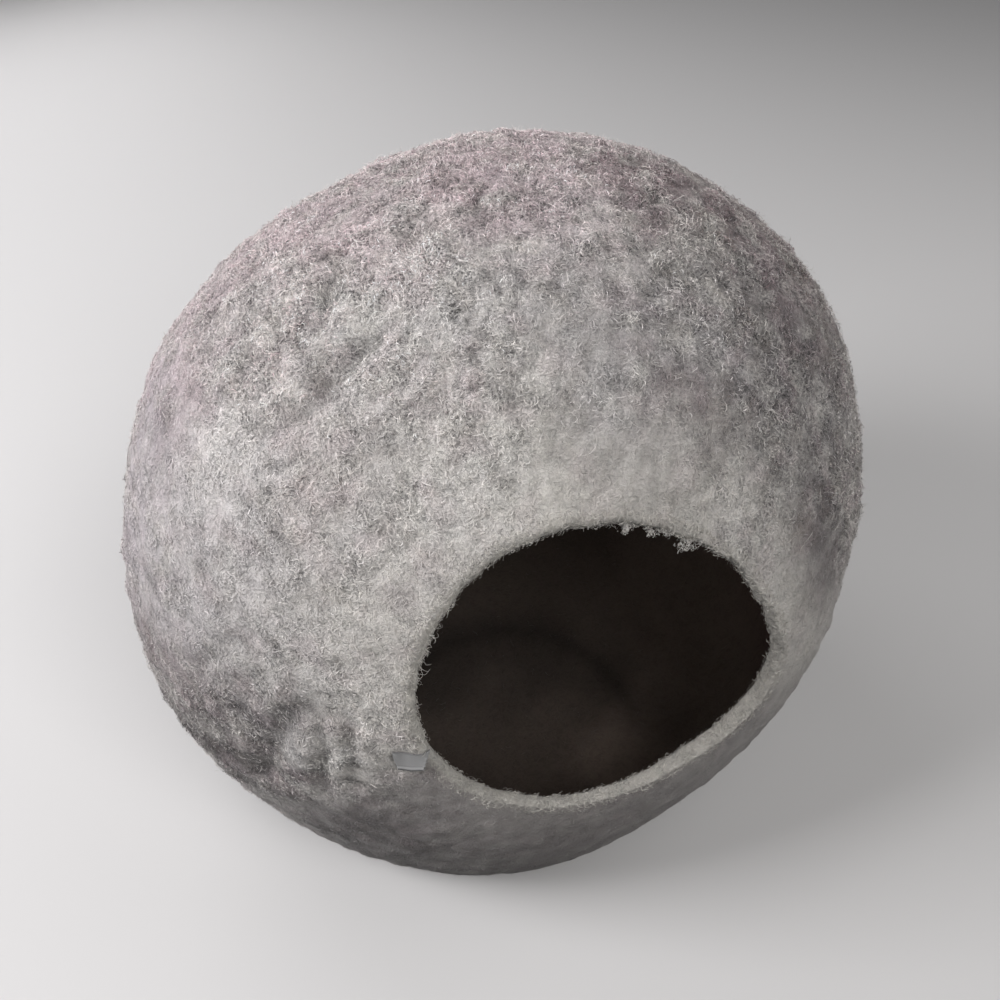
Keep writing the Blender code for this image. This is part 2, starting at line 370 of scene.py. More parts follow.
furrows = [                                # a negative depth fills in one of the frame's broad creases
    Furrow(-0.0030, 4.6, [(-37, 61), (-47, 53), (-57, 43)]),
    Furrow(-0.0020, 4.0, [(-76, 64), (-62, 59)]),
    Furrow(-0.0016, 4.2, [(-45, 8), (-49, -4)]),
    Furrow(0.0044, 1.5, [(-43.4, 62.4), (-45.8, 60.8), (-48.8, 58.7), (-50.8, 55.2), (-52.5, 53.4),
                         (-51.6, 50.6), (-53.4, 48), (-55.6, 46.4), (-59, 43)]),
    Furrow(0.0040, 1.5, [(-73, 66), (-67.9, 62.3), (-64.1, 59.9), (-61, 56.5)]),
    Furrow(0.0036, 1.8, [(-39.5, 13), (-42.9, 9.6), (-45.3, 6.2), (-46.7, 2.8), (-48.6, -2.1),
                         (-50, -7.7)]),
    Furrow(0.0038, 1.3, [(-40, 9.4), (-38.9, 5.5), (-39.5, 0), (-40.3, -6.4)]),
    Furrow(0.0034, 1.3, [(-36.3, 12.4), (-35.7, 8.2), (-35.3, 3.8), (-35.5, -1)]),
    Furrow(0.0026, 1.4, [(-71, 76), (-64, 75), (-57, 73)]),
    Furrow(0.0026, 1.2, [(-60, 88), (-40, 84), (-37, 80)]),
    Furrow(0.0024, 1.1, [(71, 70), (64, 71), (58, 74)]),
    Furrow(0.0020, 1.0, [(-50, 20), (-56, 14), (-60, 6)]),
    Furrow(0.0024, 1.2, [(112, 46), (122, 36), (134, 22)]),
    Furrow(0.0026, 1.2, [(-130, 32), (-124, 20), (-119, 8)]),
    Furrow(0.0024, 1.2, [(170, 52), (178, 42), (-176, 30)]),
]
Dimple = namedtuple("Dimple", "side rise spread depth")
dimples = [                                # a negative depth is a bump
    Dimple(-51, 4, 4.0, 0.0022),
    Dimple(-47, 54, 2.2, 0.0008),
    Dimple(-60, 57, 1.8, 0.0018),
    Dimple(-62, 62, 3.0, -0.0016),
    Dimple(-33, 60, 5.0, -0.0015),
    Dimple(66, 68, 2.5, 0.0016),
    Dimple(-20, -26, 8.0, 0.0016),
    Dimple(46, 6, 7.0, 0.0018),
    Dimple(-104, 44, 16.0, 0.0028),
]
segments, outerRings = body["segments"], body["outerRings"]
shellTree = treeOf(frame["nodes"]["felt_shell"].data)
mouthAxis = headingOf(body["mouthSide"], body["mouthRise"])
mouthRight = unit(np.cross(upWay, mouthAxis))
mouthUp = np.cross(mouthAxis, mouthRight)
roundMouth = np.arange(segments) * 2 * np.pi / segments
spokes = np.cos(roundMouth)[:, None] * mouthRight + np.sin(roundMouth)[:, None] * mouthUp


def swungHeadings(swing):
    return mouthAxis * np.cos(swing)[..., None] + spokes * np.sin(swing)[..., None]


def reachAt(heading):
    # distance from the core to the outside of the frame's shell, or 0 through the mouth
    hit, _, _, far = shellTree.ray_cast(Vector(core + heading * startOut), Vector(-heading))
    return startOut - far if hit is not None and startOut - far > 0.1 else 0.0


# how far the lip is drawn back from the frame's edge, in millimetres, every 15 degrees round the mouth
lipShift = [1.4, -4.0, -4.0, -3.4, -2.8, 0.3, 3.0, 5.6, 6.0, 4.6, 2.8, 2.8,
            4.0, 5.4, 5.4, 4.0, 1.2, 0.0, -0.8, -0.6, 1.0, 7.4, 14.0, 9.6]


def mouthEdge():
    # how far the mouth's edge swings from its axis on each spoke: found by halving, evened out, then
    # given its own wobble and shift
    low, high = np.full(segments, 0.15), np.full(segments, 0.8)
    for _ in range(14):
        middle = (low + high) / 2
        isOpen = np.array([reachAt(heading) == 0.0 for heading in swungHeadings(middle)])
        low, high = np.where(isOpen, middle, low), np.where(isOpen, high, middle)
    for _ in range(16):
        high = (np.roll(high, 1) + 2 * high + np.roll(high, -1)) / 4
    wobble = grainAt(core + swungHeadings(high) * ballRadius, "lipEdge") * body["lipWobble"]
    shift = np.interp(np.degrees(roundMouth), np.arange(25) * 15.0, [*lipShift, lipShift[0]])
    return high + wobble / ballRadius + shift / (1000.0 * ballRadius)


def smoothReach(reach, passes):
    for _ in range(passes):
        reach = (np.roll(reach, 1, 1) + 2 * reach + np.roll(reach, -1, 1)) / 4
        inside = (reach[:-2] + 2 * reach[1:-1] + reach[2:]) / 4
        reach = np.concatenate([reach[:1], inside, reach[-1:]])
    return reach


def gridNormals(grid):
    along = np.gradient(grid, axis=0)
    across = np.roll(grid, -1, 1) - np.roll(grid, 1, 1)
    normals = unit(np.cross(along, across))
    outward = np.sign(np.sum(normals * (grid - core), axis=-1, keepdims=True))
    normals = normals * np.where(outward == 0, 1, outward)
    normals[-1] = unit(normals[-2].mean(0))
    return normals


def aroundMouth(degrees, spread):
    return hill(np.abs((np.degrees(roundMouth) - degrees + 180) % 360 - 180), spread)


def furrowHeight(headings):
    # the height that furrows and dimples add, and how deep in a furrow each place is from 0 to 1
    height, deepest = np.zeros((2, len(headings)))
    for furrow in furrows:
        corners = [headingOf(*place) for place in furrow.places]
        apart = np.full(len(headings), 180.0)
        ends = np.zeros(len(headings))
        for number, (start, end) in enumerate(zip(corners, corners[1:])):
            share = np.clip((headings - start) @ (end - start) / np.sum((end - start) ** 2), 0.0, 1.0)
            nearest = unit(mixRows(start[None], end[None], share))
            away = np.degrees(np.linalg.norm(headings - nearest, axis=1))
            along = (number + share) / (len(corners) - 1)
            ends = np.where(away < apart, along, ends)
            apart = np.minimum(apart, away)
        fade = 0.35 + 0.65 * np.sin(np.pi * np.clip(ends, 0.03, 0.97)) ** 0.6      # shallower at its ends
        valley = hill(apart, furrow.spread)
        shoulder = hill(apart - 2.1 * furrow.spread, furrow.spread)
        height += furrow.depth * fade * (body["shoulder"] * shoulder - valley)
        deepest = np.maximum(deepest, fade * valley ** 2 * furrow.depth / body["darkDepth"])
    for dimple in dimples:
        apart = degreesApart(headings, headingOf(dimple.side, dimple.rise))
        height -= dimple.depth * hill(apart, dimple.spread)
    return height, np.clip(deepest, 0.0, 1.0)


def pillowsAt(points):
    # small felted lumps, creased where they meet
    return grainAt(onBall(points), "lump", creased=True) - 0.30


def hollowShade(points, nap):
    # painted shade: furrows and the hollows between lumps are a little darker
    hollow = smoothStep(-0.05, -0.28, pillowsAt(points)) * nap
    valley = furrowHeight(unit(points - core))[1]
    return (1.0 - body["hollowShade"] * hollow) * (1.0 - body["furrowShade"] * valley)


def feltHeight(points, headings):
    nap = napAt(points)
    lumps = body["lump"] * pillowsAt(points) * (0.22 + 0.78 * nap)
    swells = body["swell"] * grainAt(points, "swell") * (0.45 + 0.55 * nap)
    return lumps + swells + furrowHeight(headings)[0]


def floorRound(points):
    # 1 along the fold where the inside's floor turns up at the back and right
    across, back = body["foldMiddle"]
    halfWidth, halfDepth = body["foldHalfSize"]
    return np.hypot((points[..., 0] - across) / halfWidth, (points[..., 1] - back) / halfDepth)


def smoothWall(start):
    # the frame's outside wall from the lip to the back, evened out, as headings and points
    share = np.linspace(0.0, 1.0, outerRings + 1)[:-1, None]
    headings = swungHeadings(start + (np.pi - start) * share)
    reach = np.array([reachAt(heading) for heading in headings.reshape(-1, 3)])
    reach = reach.reshape(outerRings, segments)
    for ring in (2, 1, 0):                  # the frame's own rounding is left to the new lip
        reach[ring] = np.maximum(reach[ring], reach[ring + 1] * 2 - reach[ring + 2])
    reach = smoothReach(reach, body["faceting"])
    return headings, core + headings * reach[..., None]


def outerGrid(headings, smooth, normals):
    # the wall with its lumps and furrows, sunk a little under the pile, and flat where it stands
    ring = np.arange(outerRings)[:, None]
    height = feltHeight(smooth.reshape(-1, 3), headings.reshape(-1, 3)).reshape(outerRings, segments)
    height = height * smoothStep(0.004, 0.045, smooth[..., 2]) * (0.35 + 0.65 * smoothStep(0, 7, ring))
    height = height - body["sink"] * smoothStep(12, 40, ring)
    outer = smooth + normals * height[..., None]
    outer[..., 2] = np.where(outer[..., 2] < 0.0012, 0.0, outer[..., 2])
    return outer


def lipGrid(outer, normals, lipWall, lipReach, rolled):
    # half a round across the lip's thickness, squarer where the lip is cut
    inward = unit(outer[0] - outer[2])
    inward = unit(inward - normals * np.sum(inward * normals, axis=1, keepdims=True))
    middle = outer[0] - normals * lipWall[:, None] / 2
    sharp = 2.0 / (2.2 + 2.4 * (1 - rolled))
    lip = []
    for turn in np.linspace(np.pi / 2, -np.pi / 2, body["lipRows"] + 2)[1:-1]:
        rise = np.sign(np.sin(turn)) * np.abs(np.sin(turn)) ** sharp
        poke = np.abs(np.cos(turn)) ** sharp
        lip.append(middle + normals * (rise * lipWall / 2)[:, None] + inward * (poke * lipReach)[:, None])
    lip = np.array(lip)
    rough = grainAt(lip.reshape(-1, 3), "lipFace").reshape(lip.shape[:2])
    return lip + inward * rough[..., None]


def innerGrid(outer, smooth, normals, lipWall):
    # the lining side, a wall's thickness in, rippled and folded on its floor
    rows = np.unique(np.round((outerRings - 1) * np.linspace(0, 1, body["innerRings"]) ** 1.15).astype(int))
    thick = body["wall"] + (lipWall - body["wall"]) * np.exp(-rows / 6.0)[:, None]
    inner = smooth[rows] - normals[rows] * thick[..., None]
    inner[0] = outer[0] - normals[0] * lipWall[:, None]
    low = smoothStep(0.05, 0.012, inner[..., 2])
    ripple = np.abs(grainAt(inner.reshape(-1, 3), "insideRipple").reshape(inner.shape[:2]))
    ripple = ripple * (1.0 + 0.9 * low)
    ripple += body["fold"] * hill(floorRound(inner) - 1.0, 0.10) * low
    ripple[0] = 0.0
    return inner - normals[rows] * ripple[..., None]


def bodyGrids():
    # the outside, the lip and the inside, each in rows of points round the mouth
    rolled = np.clip(aroundMouth(120, 85) + aroundMouth(190, 40), 0.0, 1.0)      # 0 where the lip is cut
    lipReach = body["cutLip"] + (body["rolledLip"] - body["cutLip"]) * rolled
    lipWall = body["wall"] + body["thickLip"] * aroundMouth(-42, 30)
    lipWall = lipWall - body["thinLip"] * aroundMouth(-100, 30)
    headings, smooth = smoothWall(mouthEdge() + lipReach / ballRadius)
    normals = gridNormals(smooth)
    outer = outerGrid(headings, smooth, normals)
    lip = lipGrid(outer, normals[0], lipWall, lipReach, rolled)
    return outer, lip, innerGrid(outer, smooth, normals, lipWall)


def makeObject(name, mesh, materials):
    piece = addObject(name, mesh)
    for material in materials:
        mesh.materials.append(material)
    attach(piece, "root")
    return piece


def meshFromArrays(name, vertices, loops, starts, smooth, slots=None, colours=None, bakeUv=None):
    mesh = bpy.data.meshes.new(name)
    mesh.vertices.add(len(vertices))
    mesh.vertices.foreach_set("co", np.ascontiguousarray(vertices, np.float32).ravel())
    mesh.loops.add(len(loops))
    mesh.loops.foreach_set("vertex_index", np.ascontiguousarray(loops, np.int32))
    mesh.polygons.add(len(starts))
    mesh.polygons.foreach_set("loop_start", np.ascontiguousarray(starts, np.int32))
    mesh.polygons.foreach_set("use_smooth", np.full(len(starts), smooth))
    if slots is not None:
        mesh.polygons.foreach_set("material_index", np.ascontiguousarray(slots, np.int32))
    mesh.update(calc_edges=True)
    mesh.validate()
    if colours is not None:
        layer = mesh.color_attributes.new("woolTint", "BYTE_COLOR", "POINT")
        rows = np.concatenate([colours, np.ones((len(colours), 1))], axis=1)
        layer.data.foreach_set("color", np.ascontiguousarray(rows, np.float32).ravel())
    if bakeUv is not None:
        layer = mesh.uv_layers.new(name="OFBake")
        layer.data.foreach_set("uv", np.ascontiguousarray(bakeUv, np.float32).ravel())
    return mesh


# painted light and shade: how light the inside's floor is at each place, in metres across and back
FloorShade = namedtuple("FloorShade", "x y spread shade")
floorShades = [
    FloorShade(-0.030, 0.020, 0.022, 0.42),
    FloorShade(0.004, 0.013, 0.022, 0.48),
    FloorShade(0.045, 0.000, 0.024, 0.50),
    FloorShade(-0.010, 0.060, 0.030, 0.95),
    FloorShade(0.030, 0.065, 0.030, 0.95),
    FloorShade(0.090, 0.060, 0.035, 1.00),
    FloorShade(0.085, 0.000, 0.028, 1.15),
    FloorShade(0.140, 0.020, 0.040, 1.90),
    FloorShade(0.130, -0.080, 0.035, 1.90),
    FloorShade(0.185, -0.015, 0.035, 2.10),
    FloorShade(0.072, -0.045, 0.020, 0.74),
    FloorShade(-0.050, -0.020, 0.020, 0.42),
    FloorShade(0.018, -0.035, 0.018, 0.58),
    FloorShade(-0.013, -0.047, 0.024, 0.70),
    FloorShade(-0.045, -0.090, 0.030, 1.02),
    FloorShade(0.025, -0.080, 0.022, 1.15),
    FloorShade(0.000, -0.121, 0.030, 1.30),
    FloorShade(0.042, -0.120, 0.020, 3.20),
    FloorShade(0.076, -0.115, 0.020, 2.60),
    FloorShade(0.100, -0.100, 0.022, 1.30),
]


def insideShade(points):
    # painted light and shade: the inside is darkest in the fold of its floor, and paler up its right side
    weight = np.full(len(points), 0.02)
    total = weight * 1.0
    for place in floorShades:
        share = hill(np.hypot(points[:, 0] - place.x, points[:, 1] - place.y), place.spread)
        weight += share
        total += share * place.shade
    onFloor = smoothStep(0.060, 0.014, points[:, 2])
    crease = hill(floorRound(points) - 1.0, 0.075) * smoothStep(-0.12, -0.07, points[:, 1])
    litRightSide = 0.80 * smoothStep(0.05, 0.14, points[:, 0]) * (1.0 - onFloor)
    return (1.0 + (total / weight - 1.0) * onFloor) * (1.0 - 0.38 * crease * onFloor) * (1.0 + litRightSide)


def bodyColours(outer, lip, inner):
    points = outer.reshape(-1, 3)
    nap = napAt(points)
    colours = localTints(dyeColours(dyeWeights(points, unit(points - core))), points, nap)
    # painted shade under the pile, in the hollows between lumps and along furrows
    colours = colours * ((1.0 - body["shadeUnderPile"] * nap) * hollowShade(points, nap))[:, None]
    colours = colours.reshape(outerRings, segments, 3)
    # the lip is darker at its bottom, and has painted shade under the curls at its top
    shade = 0.95 - 0.16 * aroundMouth(268, 75) - 0.08 * aroundMouth(320, 30) - 0.40 * aroundMouth(82, 16)
    lipColours = wool["cream"] * shade[None, :, None] * np.ones((len(lip), 1, 1))
    lipColours[0] = (lipColours[0] + colours[0]) / 2
    # painted light and shade inside: the floor is lighter where light comes in through the mouth
    onFloor = smoothStep(0.050, 0.012, inner[..., 2].ravel())
    innerColours = np.tile(wool["lining"], (inner.shape[0] * segments, 1))
    innerColours = mixRows(innerColours, wool["liningLitFloor"], onFloor)
    innerColours = innerColours * insideShade(inner.reshape(-1, 3))[:, None]
    innerColours = innerColours.reshape(inner.shape)
    innerColours[0] = wool["cream"] * 0.45
    return np.concatenate([colours[::-1], lipColours, innerColours])


def bodyUv(rowOf, lipRows, innerRows):
    # spokes run along U; the outside, the lip and the inside share V, with a fan at each end
    shares = ((0.0, 0.78, outerRings), (0.785, 0.84, lipRows), (0.845, 1.0, innerRows))
    rowV = 0.01 + 0.98 * np.concatenate([np.linspace(*share) for share in shares])
    spoke = np.arange(segments) / segments
    u0 = np.tile(spoke, len(rowV) - 1)
    u1 = u0 + 1.0 / segments
    v0, v1 = rowV[rowOf], rowV[rowOf + 1]
    parts = [np.stack([u0, v0, u1, v0, u1, v1, u0, v1], axis=-1)]
    after = spoke + 1.0 / segments
    for level, pole, first, second in ((rowV[0], 0.0, after, spoke), (rowV[-1], 1.0, spoke, after)):
        level, pole = np.full(segments, level), np.full(segments, pole)
        parts.append(np.stack([spoke, pole, first, level, second, level], axis=-1))
    return np.concatenate([part.reshape(-1, 2) for part in parts])


def makeBody(outer, lip, inner, materials):
    # one closed skin: rows from the back to the lip and in to the lining's back, each end shut by a fan
    rows = np.concatenate([outer[::-1], lip, inner])
    colours = bodyColours(outer, lip, inner).reshape(-1, 3)
    colours = np.concatenate([colours, colours[:1], colours[-1:]])
    vertices = np.concatenate([rows.reshape(-1, 3), outer[-1].mean(0)[None], inner[-1].mean(0)[None]])
    count = len(rows)
    index = np.arange(count * segments).reshape(count, segments)
    here, there = index[:-1], index[1:]
    quads = np.stack([here, np.roll(here, -1, 1), np.roll(there, -1, 1), there], axis=-1).reshape(-1, 4)
    backPole, innerPole = np.full(segments, count * segments), np.full(segments, count * segments + 1)
    backFan = np.stack([backPole, np.roll(index[0], -1), index[0]], axis=-1)
    innerFan = np.stack([innerPole, index[-1], np.roll(index[-1], -1)], axis=-1)
    loops = np.concatenate([quads.ravel(), backFan.ravel(), innerFan.ravel()])
    starts = np.concatenate([np.arange(len(quads)) * 4, len(quads) * 4 + np.arange(2 * segments) * 3])
    rowOf = np.repeat(np.arange(count - 1), segments)
    lining = (rowOf >= outerRings + len(lip)).astype(int)
    slots = np.concatenate([lining, np.zeros(segments, int), np.ones(segments, int)])
    uv = bodyUv(rowOf, len(lip), len(inner))
    mesh = meshFromArrays("felt_body", vertices, loops, starts, True, slots, colours, uv)
    layer = mesh.attributes.new("napHeight", "FLOAT", "POINT")
    outside, lipEnd = outerRings * segments, (outerRings + len(lip)) * segments
    nap = np.full(len(vertices), body["insideNap"])
    nap[:outside] = napAt(vertices[:outside])
    nap[outside:lipEnd] = body["lipNap"]
    layer.data.foreach_set("value", np.ascontiguousarray(nap, np.float32))
    return makeObject("felt_body", mesh, materials)


# finishes
def feed(tree, node, given):
    # each input, by name or number, takes a fixed value or another node's output
    for name, value in given.items():
        if isinstance(value, bpy.types.NodeSocket):
            tree.links.new(value, node.inputs[name])
        else:
            node.inputs[name].default_value = value
    return node


def addNode(tree, kind, given=None, **settings):
    node = tree.nodes.new(kind)
    for name, value in settings.items():
        setattr(node, name, value)
    return feed(tree, node, given or {})


def fibreGroup():
    # matted wool: curling fibre lines, clumps, and painted shade in the small gaps between them
    group = bpy.data.node_groups.new("mattedWool", "ShaderNodeTree")

    def addSocket(name, way):
        kind = "NodeSocketColor" if name == "Colour" else "NodeSocketFloat"
        return group.interface.new_socket(name=name, in_out=way, socket_type=kind)

    addSocket("Colour", "INPUT").default_value = (0.5, 0.5, 0.5, 1.0)
    plain = {"Nap": 0.5, "Fibre Size": 0.003, "Lines": 0.3, "Clumps": 0.3, "Gaps": 0.5}
    for name, value in plain.items():
        addSocket(name, "INPUT").default_value = value
    for name in ("Colour", "Height", "Roughness"):
        addSocket(name, "OUTPUT")
    given = addNode(group, "NodeGroupInput").outputs
    place = addNode(group, "ShaderNodeTexCoord").outputs["Object"]

    def maths(operation, *values):
        return addNode(group, "ShaderNodeMath", dict(enumerate(values)), operation=operation).outputs[0]

    def stepOf(value, low, high):
        ends = (0.0, 1.0) if low < high else (1.0, 0.0)
        return addNode(group, "ShaderNodeMapRange", {
            "Value": value, "From Min": min(low, high), "From Max": max(low, high),
            "To Min": ends[0], "To Max": ends[1]}, interpolation_type="SMOOTHSTEP").outputs[0]

    def grainOf(offset, stretch, scale, detail, distortion):
        shifted = addNode(group, "ShaderNodeVectorMath", {
            0: place, 1: stretch, 2: offset}, operation="MULTIPLY_ADD")
        return addNode(group, "ShaderNodeTexNoise", {
            "Vector": shifted.outputs[0], "Scale": scale, "Detail": detail, "Roughness": 0.62,
            "Distortion": distortion}).outputs[0]

    density = maths("DIVIDE", 1.0, given["Fibre Size"])
    curls = []
    for offset, stretch in (((0.3, 0.1, 0.7), (1.0, 1.2, 0.9)), ((3.3, 1.9, 5.7), (0.8, 1.0, 1.3))):
        away = maths("ABSOLUTE", maths("SUBTRACT", grainOf(offset, stretch, density, 2.0, 0.8), 0.5))
        curls.append(stepOf(away, 0.075, 0.0))
    lines = maths("MAXIMUM", *curls)
    clump = grainOf((2.1, 4.4, 0.6), (1.0, 1.0, 1.0), maths("MULTIPLY", density, 0.24), 3.0, 0.3)
    speck = grainOf((7.2, 0.9, 3.8), (1.1, 0.9, 1.0), maths("MULTIPLY", density, 1.25), 2.0, 0.7)
    between = maths("MULTIPLY_ADD", stepOf(clump, 0.62, 0.40), 0.65, 0.35)
    gaps = maths("MULTIPLY", stepOf(speck, 0.50, 0.36), between)

    shade = maths("MULTIPLY", maths("SUBTRACT", lines, 0.45), given["Lines"])
    shade = maths("SUBTRACT", shade, maths("MULTIPLY", gaps, given["Gaps"]))
    clumpShare = maths("MULTIPLY", given["Clumps"], maths("MULTIPLY_ADD", given["Nap"], 0.6, 0.4))
    gain = maths("MULTIPLY_ADD", maths("SUBTRACT", clump, 0.5), clumpShare, 1.0)
    gain = maths("MAXIMUM", maths("MULTIPLY_ADD", shade, given["Nap"], gain), 0.15)
    tinted = addNode(group, "ShaderNodeVectorMath", {0: given["Colour"], "Scale": gain}, operation="SCALE")
    height = maths("MULTIPLY_ADD", clump, 2.2, maths("SUBTRACT", maths("MULTIPLY", lines, 0.4), gaps))
    raised = maths("MULTIPLY_ADD", given["Nap"], 0.8, 0.2)
    rough = addNode(group, "ShaderNodeMapRange", {"Value": lines, "To Min": 0.96, "To Max": 0.80})
    addNode(group, "NodeGroupOutput", {
        "Colour": tinted.outputs[0], "Height": maths("MULTIPLY", height, raised),
        "Roughness": rough.outputs[0]})
    return group


finishes = {                               # a nap of None reads the body's own, and a bump is in metres
    "outer": {"name": "feltOutside", "fibreSize": 0.0021, "lines": 0.62, "clumps": 1.15, "gaps": 0.55,
              "nap": None, "bump": 0.00150, "sheen": 0.22},
    "lining": {"name": "feltLining", "fibreSize": 0.0060, "lines": 0.12, "clumps": 0.30, "gaps": 0.08,
               "nap": 1.0, "bump": 0.00030, "sheen": 0.05},
    "pile": {"name": "woolFibres", "fibreSize": 0.0050, "lines": 0.10, "clumps": 0.40, "gaps": 0.10,
             "nap": 1.0, "bump": None, "sheen": 0.30},
}


def woolMaterial(group, finish):
    material, tree = addMaterial(finish["name"])
    tint = addNode(tree, "ShaderNodeAttribute", attribute_name="woolTint")
    nap = finish["nap"]
    if nap is None:
        nap = addNode(tree, "ShaderNodeAttribute", attribute_name="napHeight").outputs["Fac"]
    matted = addNode(tree, "ShaderNodeGroup", {
        "Colour": tint.outputs["Color"], "Nap": nap, "Fibre Size": finish["fibreSize"],
        "Lines": finish["lines"], "Clumps": finish["clumps"], "Gaps": finish["gaps"]}, node_tree=group)
    shader = feed(tree, tree.nodes["Principled BSDF"], {
        "Base Color": matted.outputs["Colour"], "Roughness": matted.outputs["Roughness"],
        "Sheen Weight": finish["sheen"], "Sheen Roughness": 0.55, "Specular IOR Level": 0.15})
    if finish["bump"]:
        relief = addNode(tree, "ShaderNodeBump", {
            "Distance": finish["bump"], "Height": matted.outputs["Height"]})
        feed(tree, shader, {"Normal": relief.outputs["Normal"]})
    return material


mattedWool = fibreGroup()
felts = {name: woolMaterial(mattedWool, finish) for name, finish in finishes.items()}
print("finishes:", ", ".join(felts))
outer, lip, inner = bodyGrids()
feltBody = makeBody(outer, lip, inner, [felts["outer"], felts["lining"]])
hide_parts("felt_shell")
print("felt body:", len(feltBody.data.polygons), "faces")

# the ribbon tab, bare
label = {
    "side": -27.3,
    "rise": 6.4,
    "turn": -7.0,
    "length": 0.0180,
    "nudge": -0.0012,       # towards the loose end
    "width": 0.0100,
    "slant": 0.0042,        # how far the lower left corner is drawn in
    "rightSlant": 0.0012,   # and the lower right one
    "waist": 0.08,          # how much narrower it is at its middle
    "bow": 0.0005,          # how far its middle sags
    "sewnRise": 0.0016,     # how far the sewn end is turned up
    "thickness": 0.00045,
    "lift": 0.0010,
    "curl": 0.0008,         # how far the loose left end stands off
    "flare": 0.0028,        # how far its lower edge stands off
    "ripple": 0.0003,
    "follow": (-0.004, 0.006),      # how far it follows the felt in and out from its middle
    "columns": 36,
    "rows": 16,
}
labelCentre = headingOf(label["side"], label["rise"])
labelRight = unit(np.cross(upWay, labelCentre))
labelUp = np.cross(labelCentre, labelRight)
labelTurn = np.radians(label["turn"])
labelAlong = labelRight * np.cos(labelTurn) + labelUp * np.sin(labelTurn)
labelAcross = labelUp * np.cos(labelTurn) - labelRight * np.sin(labelTurn)
feltTree = treeOf(feltBody.data)
labelReach = reachAt(labelCentre)


def feltPoint(heading):
    hit, normal, _, _ = feltTree.ray_cast(Vector(core + heading * startOut), Vector(-heading))
    return np.array(hit), np.array(normal)


def onLabel(points, margin):
    spread = points - core - labelCentre * labelReach
    u, v = spread @ labelAlong, spread @ labelAcross
    near = np.linalg.norm(spread, axis=-1) < 0.03
    return near & (np.abs(u) < label["length"] / 2 + margin) & (np.abs(v) < label["width"] / 2 + margin)


def labelGrid():
    # s runs from the loose left end to the sewn right one, and t from the lower edge to the upper
    columns, rows = label["columns"], label["rows"]
    normal = unit(feltPoint(labelCentre)[1] + labelCentre)
    points, places = np.zeros((2, columns, rows, 3))
    for i, s in enumerate(np.linspace(0, 1, columns)):
        swell = np.sin(np.pi * s)
        for j, t in enumerate(np.linspace(0, 1, rows)):
            left = -label["length"] / 2 + label["slant"] * (1 - t) ** 1.2
            right = label["length"] / 2 - label["rightSlant"] * (1 - t)
            u = left + (right - left) * s
            v = (t - 0.5) * label["width"] * (1 - label["waist"] * swell)
            v += label["sewnRise"] * s ** 3 - label["bow"] * swell
            heading = unit(labelCentre * labelReach + labelAlong * (u + label["nudge"]) + labelAcross * v)
            reach = np.linalg.norm(feltPoint(heading)[0] - core) - labelReach
            reach = labelReach + np.clip(reach, *label["follow"])
            lift = label["lift"] + label["curl"] * (1 - s) ** 4 * (0.4 + 0.6 * t)
            lift += label["flare"] * (1 - t) ** 1.3 + label["ripple"] * np.sin(5 * s + 3 * t)
            points[i, j] = core + heading * reach + normal * lift
            places[i, j] = (u, t, 0)
    for _ in range(8):                      # the ribbon is stiffer than the lumps under it
        points[1:-1] = (points[:-2] + 2 * points[1:-1] + points[2:]) / 4
        points[:, 1:-1] = (points[:, :-2] + 2 * points[:, 1:-1] + points[:, 2:]) / 4
    return points, places, normal


def makeLabel(material):
    points, places, normal = labelGrid()
    columns, rows = points.shape[:2]
    half = normal * label["thickness"] / 2
    vertices = np.concatenate([(points + half).reshape(-1, 3), (points - half).reshape(-1, 3)])
    index = np.arange(columns * rows).reshape(columns, rows)
    a, b, c, d = index[:-1, :-1], index[1:, :-1], index[1:, 1:], index[:-1, 1:]
    top = np.stack([a, b, c, d], axis=-1).reshape(-1, 4)
    under = top[:, ::-1] + columns * rows
    rim = np.concatenate([index[:, 0], index[-1, 1:], index[-2::-1, -1], index[0, -2:0:-1]])
    after = np.roll(rim, -1)
    walls = np.stack([after, rim, rim + columns * rows, after + columns * rows], axis=-1)
    faces = np.concatenate([top, under, walls])
    mesh = meshFromArrays("label", vertices, faces.ravel(), np.arange(len(faces)) * 4, True)
    layer = mesh.attributes.new("clothPlace", "FLOAT_VECTOR", "POINT")
    both = np.concatenate([places.reshape(-1, 3)] * 2)
    layer.data.foreach_set("vector", np.ascontiguousarray(both, np.float32).ravel())
    return makeObject("label_ribbon", mesh, [material]), points, normal


tape = {
    "threadPitch": {"X": 0.00042, "Y": 0.034},      # in metres along it, and as a share of its width
    "hollow": (0.255, 0.253, 0.250, 1.0),           # colour between the threads and on top of them
    "crown": (0.355, 0.353, 0.350, 1.0),
    "weaveDepth": 0.0001,
    # across the tape, from its lower edge: darker edges, and one paler woven line near the lower one
    "borders": {0.0: 0.45, 0.07: 0.80, 0.13: 1.30, 0.18: 1.30, 0.23: 0.82, 0.30: 1.0, 0.90: 1.0, 1.0: 0.50},
}


def setRamp(ramp, stops):
    ramp.elements.remove(ramp.elements[1])      # a ramp comes with two stops, and always keeps one
    for number, (place, colour) in enumerate(stops.items()):
        stop = ramp.elements.new(place) if number else ramp.elements[0]
        stop.position = place
        stop.color = colour


